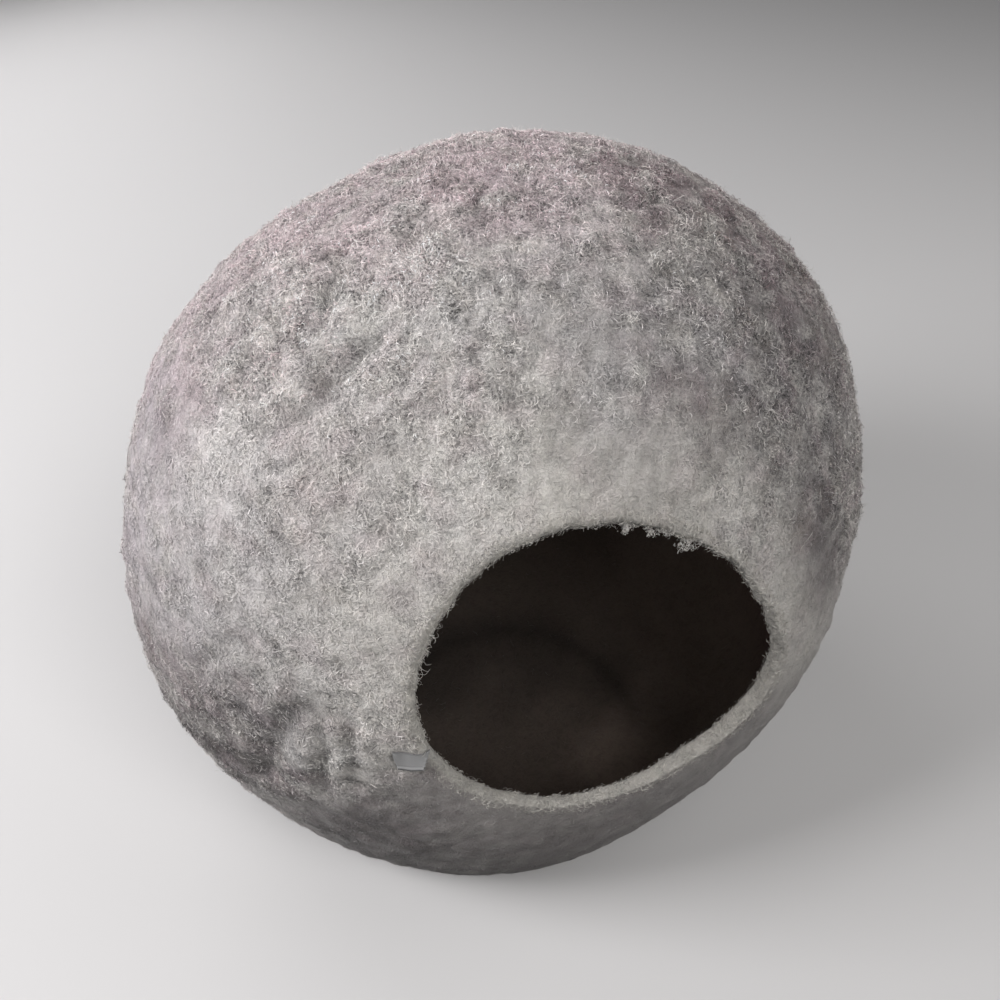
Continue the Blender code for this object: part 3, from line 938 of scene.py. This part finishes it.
def ribbonMaterial():
    # a fine plain-weave tape
    material, tree = addMaterial("wovenTape")
    place = addNode(tree, "ShaderNodeAttribute", attribute_name="clothPlace")
    split = addNode(tree, "ShaderNodeSeparateXYZ", {0: place.outputs["Vector"]})
    threads = []
    for axis, pitch in tape["threadPitch"].items():
        turns = addNode(tree, "ShaderNodeMath", {
            0: split.outputs[axis], 1: 2 * np.pi / pitch}, operation="MULTIPLY")
        threads.append(addNode(tree, "ShaderNodeMath", {0: turns.outputs[0]}, operation="SINE").outputs[0])
    weave = addNode(tree, "ShaderNodeMath", dict(enumerate(threads)), operation="MULTIPLY")
    share = addNode(tree, "ShaderNodeMapRange", {"Value": weave.outputs[0], "From Min": -1.0}).outputs[0]
    borders = addNode(tree, "ShaderNodeValToRGB", {0: split.outputs["Y"]})
    setRamp(borders.color_ramp, {place: (grey, grey, grey, 1.0) for place, grey in tape["borders"].items()})
    cloth = addNode(tree, "ShaderNodeMix", {
        "Factor": share, "A": tape["hollow"], "B": tape["crown"]}, data_type="RGBA")
    bordered = addNode(tree, "ShaderNodeMix", {
        "Factor": 1.0, "A": cloth.outputs["Result"], "B": borders.outputs["Color"]},
        data_type="RGBA", blend_type="MULTIPLY")
    gloss = addNode(tree, "ShaderNodeMapRange", {"Value": share, "To Min": 0.70, "To Max": 0.48})
    relief = addNode(tree, "ShaderNodeBump", {"Distance": tape["weaveDepth"], "Height": share})
    feed(tree, tree.nodes["Principled BSDF"], {
        "Base Color": bordered.outputs["Result"], "Roughness": gloss.outputs[0],
        "Normal": relief.outputs["Normal"], "Sheen Weight": 0.15, "Specular IOR Level": 0.35})
    return material


# strands: three-sided threads along a path, thinner at both ends
def strandMesh(name, paths, radii, colours, material):
    corners = 3
    turns = 2 * np.pi * np.arange(corners) / corners
    vertices, faces, tints = [], [], []
    for path, radius, colour in zip(paths, radii, colours):
        path = np.array(path)
        way = unit(np.gradient(path, axis=0))
        side = unit(np.cross(way, (0.31, 0.52, 0.79)))       # an odd direction, which paths rarely follow
        other = np.cross(way, side)
        taper = np.sin(np.pi * np.linspace(0.12, 0.93, len(path))) ** 0.6
        base = len(vertices)
        for k in range(len(path)):
            for turn in turns:
                around = side[k] * np.cos(turn) + other[k] * np.sin(turn)
                vertices.append(path[k] + around * radius * taper[k])
                tints.append(colour)
        for k in range(len(path) - 1):
            for corner in range(corners):
                near, far = base + k * corners, base + (k + 1) * corners
                after = (corner + 1) % corners
                faces.append((near + corner, near + after, far + after, far + corner))
        end = base + (len(path) - 1) * corners
        faces.append((base + 2, base + 1, base))
        faces.append((end, end + 1, end + 2))
    loops = np.concatenate(faces)
    starts = np.concatenate([[0], np.cumsum([len(face) for face in faces])[:-1]])
    tints = np.clip(np.array(tints), 0, 1)
    mesh = meshFromArrays(name, np.array(vertices), loops, starts, True, colours=tints)
    return makeObject(name, mesh, [material])


stitching = {
    "sewnTacks": 5,
    "sewnReach": 0.0011,    # half the length of a tack at the sewn right end
    "cornerReach": 0.0008,  # and of one at a corner of the loose end
    "height": 0.00055,
    "sunk": 0.0004,         # how deep a tack's ends go in
    "radius": 0.00013,
    "grey": 0.42,
}


def makeStitches(points, normal, material):
    # short tacks at the sewn right end, and one at each corner of the loose end
    columns, rows = points.shape[:2]
    sewn, corner = stitching["sewnReach"], stitching["cornerReach"]
    sewnRows = np.linspace(1, rows - 2, stitching["sewnTacks"]).astype(int)
    tacks = [(columns - 3, row, sewn) for row in sewnRows]
    tacks += [(2, rows - 3, corner), (3, 2, corner)]
    arc = np.linspace(-1, 1, 9)[:, None]
    rise = stitching["height"] * (1 - arc ** 2) - stitching["sunk"] * np.abs(arc) ** 3
    paths = []
    for column, row, reach in tacks:
        along = unit(points[min(column + 2, columns - 1), row] - points[column - 2, row])
        paths.append(points[column, row] + along * reach * (arc + 0.5) + normal * rise)
    radii = [stitching["radius"]] * len(paths)
    colours = [np.full(3, stitching["grey"])] * len(paths)
    return strandMesh("label_stitches", paths, radii, colours, material)


# the pile: short curling fibres matted into the felt
pile = {
    "seed": 41,
    "lying": 148000,
    "standing": 32000,
    "bunches": 4,
    "length": (0.0018, 0.0048),
    "halfWidth": (0.00010, 0.00022),
    "darkShare": 0.19,
    "paleShare": 0.22,
    "longShare": 0.075,     # long pale strands among the short fibres
    "longLength": (0.0050, 0.0100),
    "lift": 0.0006,
    "clumpLift": 0.0010,
    "clear": 0.00012,       # a fibre's ends are sunk, and its middle lies this clear of the felt
    "tilt": 0.85,           # roll of a fibre about its own length
    "standLength": (0.0024, 0.0080),
    "standHalfWidth": (0.00006, 0.00012),
    "roundMouth": 2.6,      # how strongly the fibres lie round the mouth near it
    "mouthDegrees": (38, 27),       # from its axis, where that starts and where it is full
    "level": 2.2,           # how strongly they lie level on the left flank
    "flank": (-66, 16),
    "flankDegrees": 24.0,
}
lipFuzz = {"count": 7000, "length": (0.0020, 0.0052), "halfWidth": (0.00008, 0.00016), "lift": 0.0006,
           "uprightShare": 0.22}
liningFuzz = {"count": 1500, "length": (0.004, 0.009), "halfWidth": (0.00015, 0.00030), "lift": 0.0007}
draw = np.random.default_rng(pile["seed"])


def drawBetween(limits, count, power=1.0):
    # a power above 1 draws more of them near the low end
    low, high = limits
    return low + (high - low) * draw.random(count) ** power


def surfaceSpots(grid, normals, count, density):
    # places drawn over a grid by its faces' areas and the density there, with the normals at them
    a, b, c, d = grid[:-1], np.roll(grid[:-1], -1, 1), np.roll(grid[1:], -1, 1), grid[1:]
    area = np.linalg.norm(np.cross(c - a, d - b), axis=-1) / 2
    centres = ((a + b + c + d) / 4).reshape(-1, 3)
    chance = area.ravel() * density(centres)
    chosen = draw.choice(len(chance), count, p=chance / chance.sum())
    ring, spoke = np.divmod(chosen, grid.shape[1])
    after = (spoke + 1) % grid.shape[1]
    s, t = draw.random((2, count, 1))

    def blendOf(rows):
        near = rows[ring, spoke] * (1 - s) + rows[ring, after] * s
        far = rows[ring + 1, spoke] * (1 - s) + rows[ring + 1, after] * s
        return near * (1 - t) + far * t

    return blendOf(grid), unit(blendOf(normals))


def flowAt(points, normals, spread):
    # neighbouring fibres share a rough direction that wanders over the felt
    headings = unit(points - core)
    guide = unit(np.stack([noiseAt(points, 0.02, shift) for shift in (1.3, 6.1, 9.4)], axis=-1) + 0.02)
    rimward = unit(np.cross(mouthAxis, points - core))
    nearMouth = smoothStep(*pile["mouthDegrees"], degreesApart(headings, mouthAxis))
    guide = guide + np.cross(rimward, normals) * (pile["roundMouth"] * nearMouth)[:, None]
    level = np.cross(upWay, normals)
    onFlank = hill(degreesApart(headings, headingOf(*pile["flank"])), pile["flankDegrees"])
    guide = guide + np.cross(level, normals) * (pile["level"] * onFlank)[:, None]
    along = unit(np.cross(normals, guide))
    side = np.cross(normals, along)
    turn = draw.normal(0.0, spread, len(points))[:, None]
    return along * np.cos(turn) + side * np.sin(turn)


def fibreVertices(points, normals, along, length, halfWidth, bend, lifts, tilt):
    # each fibre is a flat ribbon in three lengths, pointed at both ends
    side = np.cross(normals, along)
    step = length[:, None] / 3
    ways = [along * np.cos(bend * k)[:, None] + side * np.sin(bend * k)[:, None] for k in (-1, 0, 1)]
    start = points - ways[1] * step * 1.5
    knots = [start]
    for way in ways:
        knots.append(knots[-1] + way * step)
    knots = [knot + normals * lift[:, None] for knot, lift in zip(knots, lifts)]
    flat = []
    for way in (ways[0] + ways[1], ways[1] + ways[2]):
        way = unit(way)
        across = np.cross(normals, way)
        flat.append((across * np.cos(tilt)[:, None] + normals * np.sin(tilt)[:, None]) * halfWidth[:, None])
    return np.stack([knots[0], knots[1] - flat[0], knots[1] + flat[0],
                     knots[2] - flat[1], knots[2] + flat[1], knots[3]], axis=1)


def clumpAt(points):
    # 0 in the gaps between clumps of pile, 1 on top of them
    fine = np.abs(noiseAt(points, 0.0062, 12.0))
    return np.clip(1.9 * fine + 1.2 * noiseAt(points, 0.011, 4.4) + 0.25, 0.0, 1.0)


def fibreColours(points, brightness):
    nap = napAt(points)
    weights = dyeWeights(points, unit(points - core))
    colours = mixRows(dyeColours(weights), dyeColours(weights, draw), np.clip(0.03 + nap, 0.0, 1.0))
    colours = localTints(colours, points, nap)
    share = pile["paleShare"] * np.clip(0.04 + 1.2 * nap, 0.0, 1.0)
    return mixRows(colours, wool["pearl"], (draw.random(len(points)) < share) * 0.50) * brightness[:, None]


def pileDensity(spots):
    # thinner where the felt is smooth, between clumps and at the floor, and none under the ribbon
    thick = (0.35 + 0.65 * napAt(spots)) * (0.45 + 0.55 * clumpAt(spots))
    return thick * (0.12 + 0.88 * smoothStep(0.0, 0.02, spots[:, 2])) * ~onLabel(spots, 0.0008)


def standingDensity(spots):
    return pileDensity(spots) * smoothStep(0.004, 0.05, spots[:, 2])


def lipDensity(spots):
    return ~onLabel(spots, 0.0004)


def liningDensity(spots):
    # low down and in the middle, where the mouth lets light in
    return smoothStep(0.20, 0.05, spots[:, 2]) * (np.abs(spots[:, 0]) < 0.17)


def lyingFibres(grid, normalsGrid):
    count = pile["lying"]
    points, normals = surfaceSpots(grid, normalsGrid, count, pileDensity)
    nap = napAt(points)
    length = drawBetween(pile["length"], count) * (1.15 - 0.25 * nap)
    halfWidth = drawBetween(pile["halfWidth"], count)
    bend = draw.choice((-1.0, 1.0), count) * draw.uniform(0.05, 0.95, count)
    length = length * (1.0 - 0.5 * furrowHeight(unit(points - core))[1])
    isLong = draw.random(count) < pile["longShare"] * (0.12 + nap)
    length = np.where(isLong, drawBetween(pile["longLength"], count, 1.6), length)
    halfWidth = np.where(isLong, halfWidth * 0.62, halfWidth)
    clump = clumpAt(points)
    raised = clump * pile["clumpLift"] * (0.05 + 0.95 * nap)
    top = np.abs(draw.normal(0.0, 1.0, count)) * pile["lift"] * (0.06 + 0.94 * nap) + isLong * 0.0005
    clear = pile["clear"] * (0.30 + 0.70 * np.minimum(nap, 1.0))
    lifts = [raised * 0.4 - clear * 1.7, raised + top * draw.uniform(0.2, 1.0, count) + clear * 0.8,
             raised + top + clear, raised * 0.6 + top * draw.uniform(-0.3, 1.5, count)]
    tilt = draw.normal(0.0, 1.0, count) * pile["tilt"] * (0.05 + 0.95 * nap)
    flow = flowAt(points, normals, 1.15)
    fibres = fibreVertices(points, normals, flow, length, halfWidth, bend, lifts, tilt)
    # painted light and shade: fibres on top of clumps are lighter, and those in hollows and along furrows
    # darker
    bright = draw.normal(1.06, 0.24, count) + 0.36 * (clump - 0.55)
    bright = bright - 0.34 * (draw.random(count) < pile["darkShare"])
    bright = np.where(isLong, draw.uniform(1.05, 1.35, count), bright)
    bright = 1.0 + (bright - 1.0) * (0.04 + 0.50 * nap + 0.42 * nap ** 2)       # even where it is smooth
    colours = fibreColours(points, np.clip(bright * hollowShade(points, nap), 0.25, 1.7))
    return points, fibres, mixRows(colours, wool["ivory"] * 1.15, isLong * 0.45)


def standingFibres(grid, normalsGrid):
    count = pile["standing"]
    points, normals = surfaceSpots(grid, normalsGrid, count, standingDensity)
    nap = napAt(points)
    length = drawBetween(pile["standLength"], count, 2.2) * (0.32 + 0.73 * nap)
    halfWidth = drawBetween(pile["standHalfWidth"], count)
    bend = draw.normal(0.0, 0.6, count)
    stand = length * draw.uniform(0.35, 0.85, count) * (0.40 + 0.60 * np.minimum(nap, 1.0))
    lifts = [np.full(count, -0.0003), stand * 0.4, stand * 0.75, stand * draw.uniform(0.6, 1.1, count)]
    tilt = draw.uniform(-1.5, 1.5, count)
    flow = flowAt(points, normals, 1.2)
    fibres = fibreVertices(points, normals, flow, length * 0.7, halfWidth, bend, lifts, tilt)
    colours = fibreColours(points, draw.uniform(0.90, 1.15, count))
    # the standing fibres are paler: partly their own wool, partly painted light for fuzz lit from behind
    colours = mixRows(colours, wool["ivory"], 0.60 * np.clip(0.15 + 1.3 * nap, 0.0, 1.0))
    return points, fibres, colours


def lipFibres():
    count = lipFuzz["count"]
    grid = np.concatenate([outer[1::-1], lip, inner[:1]])
    normalsGrid = unit(grid - (outer[0] + inner[0]) / 2)
    points, normals = surfaceSpots(grid, normalsGrid, count, lipDensity)
    length = drawBetween(lipFuzz["length"], count)
    halfWidth = drawBetween(lipFuzz["halfWidth"], count)
    top = np.abs(draw.normal(0.0, lipFuzz["lift"], count))
    upright = draw.random(count) < lipFuzz["uprightShare"]
    top = np.where(upright, length * draw.uniform(0.25, 0.6, count), top)
    lifts = [np.full(count, -0.0002), top * 0.6 + 0.0001, top * 0.9 + 0.0001,
             top * draw.uniform(0.4, 1.2, count)]
    tilt = draw.normal(0.0, 0.7, count)
    bend = draw.normal(0.0, 0.6, count)
    flow = flowAt(points, normals, 1.3)
    fibres = fibreVertices(points, normals, flow, length, halfWidth, bend, lifts, tilt)
    return fibres, wool["cream"] * draw.uniform(0.80, 1.10, count)[:, None]


def liningFibres():
    # sparse flat fuzz, coloured with the floor's painted light and shade
    count = liningFuzz["count"]
    points, normals = surfaceSpots(inner, -gridNormals(inner), count, liningDensity)
    length = drawBetween(liningFuzz["length"], count)
    halfWidth = drawBetween(liningFuzz["halfWidth"], count)
    top = np.abs(draw.normal(0.0, liningFuzz["lift"], count))
    lifts = [np.full(count, -0.0001), top * 0.7 + 0.0001, top + 0.0001,
             top * draw.uniform(0.0, 1.3, count)]
    bend = draw.normal(0.0, 0.6, count)
    tilt = draw.normal(0.0, 0.5, count)
    flow = flowAt(points, normals, 0.8)
    fibres = fibreVertices(points, normals, flow, length, halfWidth, bend, lifts, tilt)
    return fibres, wool["liningLitFloor"] * (draw.uniform(0.85, 1.15, count) * insideShade(points))[:, None]


# a fibre has a triangle, a quad and a triangle over six vertices, and lies along U in its own cell
fibreLoops = np.array((0, 1, 2, 1, 3, 4, 2, 3, 5, 4))
fibreStarts = np.array((0, 3, 7))
fibreCorners = np.array(((0.06, 0.5), (0.36, 0.1), (0.36, 0.9), (0.64, 0.1), (0.64, 0.9), (0.94, 0.5)))


def fibreMesh(name, fibres, colours):
    number = np.arange(len(fibres))[:, None]
    loops = (fibreLoops + fibres.shape[1] * number).ravel()
    starts = (fibreStarts + len(fibreLoops) * number).ravel()
    cells = int(np.ceil(np.sqrt(len(fibres))))
    uv = (np.stack([number % cells, number // cells], axis=-1) + fibreCorners[fibreLoops]) / cells
    tints = np.repeat(np.clip(colours, 0.0, 1.0), fibres.shape[1], axis=0)
    vertices = fibres.reshape(-1, 3)
    mesh = meshFromArrays(name, vertices, loops, starts, False, colours=tints, bakeUv=uv.reshape(-1, 2))
    return makeObject(name, mesh, [felts["pile"]])


def makePile():
    normalsGrid = gridNormals(outer)
    parts = [lyingFibres(outer, normalsGrid), standingFibres(outer, normalsGrid)]
    points, fibres, colours = (np.concatenate(rows) for rows in zip(*parts))
    fibres[..., 2] = np.maximum(fibres[..., 2], 0.0002)
    turned = np.arctan2((points - core) @ mouthUp, (points - core) @ mouthRight)
    order = np.argsort(turned, kind="stable")
    made = []
    for number, chosen in enumerate(np.array_split(order, pile["bunches"])):
        made.append(fibreMesh(f"pile_{number + 1}", fibres[chosen], colours[chosen]))
    made.append(fibreMesh("lip_fuzz", *lipFibres()))
    made.append(fibreMesh("lining_fuzz", *liningFibres()))
    print("pile:", sum(len(piece.data.vertices) for piece in made) // 6, "fibres in", len(made), "pieces")
    return made


# loose curls that hang from the rim
curls = {
    "steps": 13,
    "bend": 0.35,           # how far a curl of 1 turns at each step
    "sag": 0.05,
    "radius": (0.00006, 0.00011),
    "brightness": (1.0, 1.35),
    "lengthRange": (0.5, 1.6),      # times a tuft's own length
    "rooted": 0.0006,       # how deep a strand starts in the lip
    "knotScatter": 0.32,    # how far a knot's strands start from each other, as a share of its drop
}
# the angle is round the mouth, 90 at its top, and drop is how far a knot hangs below the rim
Tuft = namedtuple("Tuft", "angle spread count length curl drop", defaults=[0.0])
tufts = [
    Tuft(83, 1.0, 110, 0.0042, 3.6, 0.0034),
    Tuft(83, 1.6, 30, 0.0060, 1.6),
    Tuft(79, 4.0, 20, 0.0028, 1.2),
    Tuft(74, 1.0, 60, 0.0038, 3.2, 0.0028),
    Tuft(69, 2.2, 46, 0.0060, 1.8, 0.0012),
    Tuft(60, 1.6, 60, 0.0060, 2.4, 0.0044),
    Tuft(57, 2.4, 30, 0.0090, 1.4),
    Tuft(50, 6.0, 22, 0.0036, 0.8),
    Tuft(117, 3.0, 24, 0.0036, 1.2),
    Tuft(143, 5.0, 40, 0.0044, 1.0),
    Tuft(150, 3.0, 30, 0.0056, 1.2),
    Tuft(158, 4.0, 10, 0.0120, 1.2),
    Tuft(166, 5.0, 18, 0.0080, 1.4),
    Tuft(178, 5.0, 10, 0.0050, 1.2),
    Tuft(187, 3.0, 16, 0.0060, 1.8),
    Tuft(12, 14.0, 26, 0.0034, 0.7),
    Tuft(265, 25.0, 18, 0.0030, 0.7),
    Tuft(100, 60.0, 70, 0.0034, 0.8),
]


def curlPath(start, way, length, curl):
    path, spin = [start], draw.normal(0.0, 1.0, 3)
    for _ in range(curls["steps"]):
        spin = 0.8 * spin + 0.6 * draw.normal(0.0, 1.0, 3)
        way = unit(way + np.cross(spin, way) * curl * curls["bend"] - upWay * curls["sag"])
        path.append(path[-1] + way * length / curls["steps"])
    return path


def makeTufts():
    paths, radii, colours = [], [], []
    for tuft in tufts:
        for _ in range(tuft.count):
            angle = np.radians(tuft.angle + draw.normal(0.0, tuft.spread / 2))
            spoke = int(round(angle / (2 * np.pi) * segments)) % segments
            start = lip[draw.integers(2, 6), spoke]
            inward = unit(lip[len(lip) // 2, spoke] - (outer[0, spoke] + inner[0, spoke]) / 2)
            way = unit(inward * 0.7 - upWay * 0.4 + draw.normal(0.0, 0.8, 3))
            length = tuft.length * draw.uniform(*curls["lengthRange"])
            hang = (inward * 0.5 - upWay * 0.9) * draw.uniform(0.4, 1.2)
            hang = (hang + draw.normal(0.0, curls["knotScatter"], 3)) * tuft.drop
            paths.append(curlPath(start - inward * curls["rooted"] + hang, way, length, tuft.curl))
            radii.append(draw.uniform(*curls["radius"]))
            colours.append(wool["ivory"] * draw.uniform(*curls["brightness"]))
    print("rim curls:", len(paths))
    return strandMesh("rim_curls", paths, radii, colours, felts["pile"])


labelPiece, labelPoints, labelNormal = makeLabel(ribbonMaterial())
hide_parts("label")
stitches = makeStitches(labelPoints, labelNormal, felts["pile"])
print("label:", len(labelPiece.data.polygons), "faces")
pilePieces = makePile()
tuftPiece = makeTufts()


# floor, light and camera
studio = {
    "floorSize": 12.0,
    "floorColour": (0.62, 0.61, 0.60, 1.0),
    "floorDrop": 0.0004,                    # below the cave's base
    "camera": (-0.1366, -0.4761, 0.6374),
    "looks": (0.2013385, 0.6985946, -0.6866065),
    "lens": 36.0,
    "sensor": 36.0,
    "sky": {0.48: (0.10, 0.095, 0.09, 1.0), 0.65: (0.62, 0.64, 0.67, 1.0)},      # 0 is straight down, 1 up
    "skyPower": 0.10,
    "backdrop": (0.60, 0.60, 0.60, 1.0),    # what the camera sees beyond the floor
}
Lamp = namedtuple("Lamp", "name place target size power colour")
lamps = [
    Lamp("windowLeft", (-1.5, 0.0, 1.25), (0, 0, 0.2), 0.8, 32.4, (0.985, 0.978, 1.0)),
    Lamp("frontAbove", (0.4, -1.4, 1.7), (0, 0, 0.2), 1.0, 19.6, (1.0, 0.990, 0.992)),
    Lamp("backLow", (-0.6, 1.5, 0.9), (0, 0, 0.2), 1.2, 11.1, (0.985, 0.978, 1.0)),
    Lamp("rightAbove", (1.4, -0.2, 1.3), (0, 0, 0.2), 1.2, 6.0, (1.0, 0.990, 1.0)),
    Lamp("insideGlow", (0.0, 0.05, 0.28), (0, 0.02, 0.0), 0.10, 0.088, (1.0, 0.96, 0.92)),
]


def aim(piece, place, way):
    piece.location = place
    piece.rotation_euler = way.to_track_quat("-Z", "Y").to_euler()


def makeFloor():
    half = studio["floorSize"] / 2
    mesh = bpy.data.meshes.new("floor")
    corners = [(-half, -half, 0), (half, -half, 0), (half, half, 0), (-half, half, 0)]
    mesh.from_pydata(corners, [], [(0, 1, 2, 3)])
    material, tree = addMaterial("paleFloor")
    feed(tree, tree.nodes["Principled BSDF"], {"Base Color": studio["floorColour"], "Roughness": 0.7})
    mesh.materials.append(material)
    floor = addObject("floor", mesh)
    floor.location.z = -studio["floorDrop"]
    floor.visible_diffuse = False           # it throws no light back up at the wool


def makeLamps():
    for lamp in lamps:
        light = bpy.data.lights.new(lamp.name, "AREA")
        light.size = lamp.size
        light.energy = lamp.power
        light.color = lamp.colour
        aim(addObject(lamp.name, light), lamp.place, Vector(lamp.target) - Vector(lamp.place))


def makeWorld():
    world = bpy.data.worlds.new("softRoom")
    bpy.context.scene.world = world
    world.use_nodes = True
    tree = world.node_tree
    place = addNode(tree, "ShaderNodeTexCoord")
    split = addNode(tree, "ShaderNodeSeparateXYZ", {0: place.outputs["Generated"]})
    share = addNode(tree, "ShaderNodeMapRange", {"Value": split.outputs["Z"], "From Min": -1.0})
    sky = addNode(tree, "ShaderNodeValToRGB", {0: share.outputs[0]})
    setRamp(sky.color_ramp, studio["sky"])
    glow = feed(tree, tree.nodes["Background"], {"Color": sky.outputs[0], "Strength": studio["skyPower"]})
    seen = addNode(tree, "ShaderNodeBackground", {"Color": studio["backdrop"]})
    rays = addNode(tree, "ShaderNodeLightPath")
    either = addNode(tree, "ShaderNodeMixShader", {
        0: rays.outputs["Is Camera Ray"], 1: glow.outputs[0], 2: seen.outputs[0]})
    feed(tree, tree.nodes["World Output"], {"Surface": either.outputs[0]})


def makeCamera():
    scene = bpy.context.scene
    lens = bpy.data.cameras.new("camera")
    lens.lens = studio["lens"]
    lens.sensor_width = studio["sensor"]
    lens.clip_start = 0.01
    camera = addObject("camera", lens)
    aim(camera, studio["camera"], Vector(studio["looks"]))
    scene.camera = camera
    scene.view_settings.view_transform = "Standard"


makeFloor()
makeLamps()
makeWorld()
makeCamera()
print("studio:", len(lamps), "lamps")
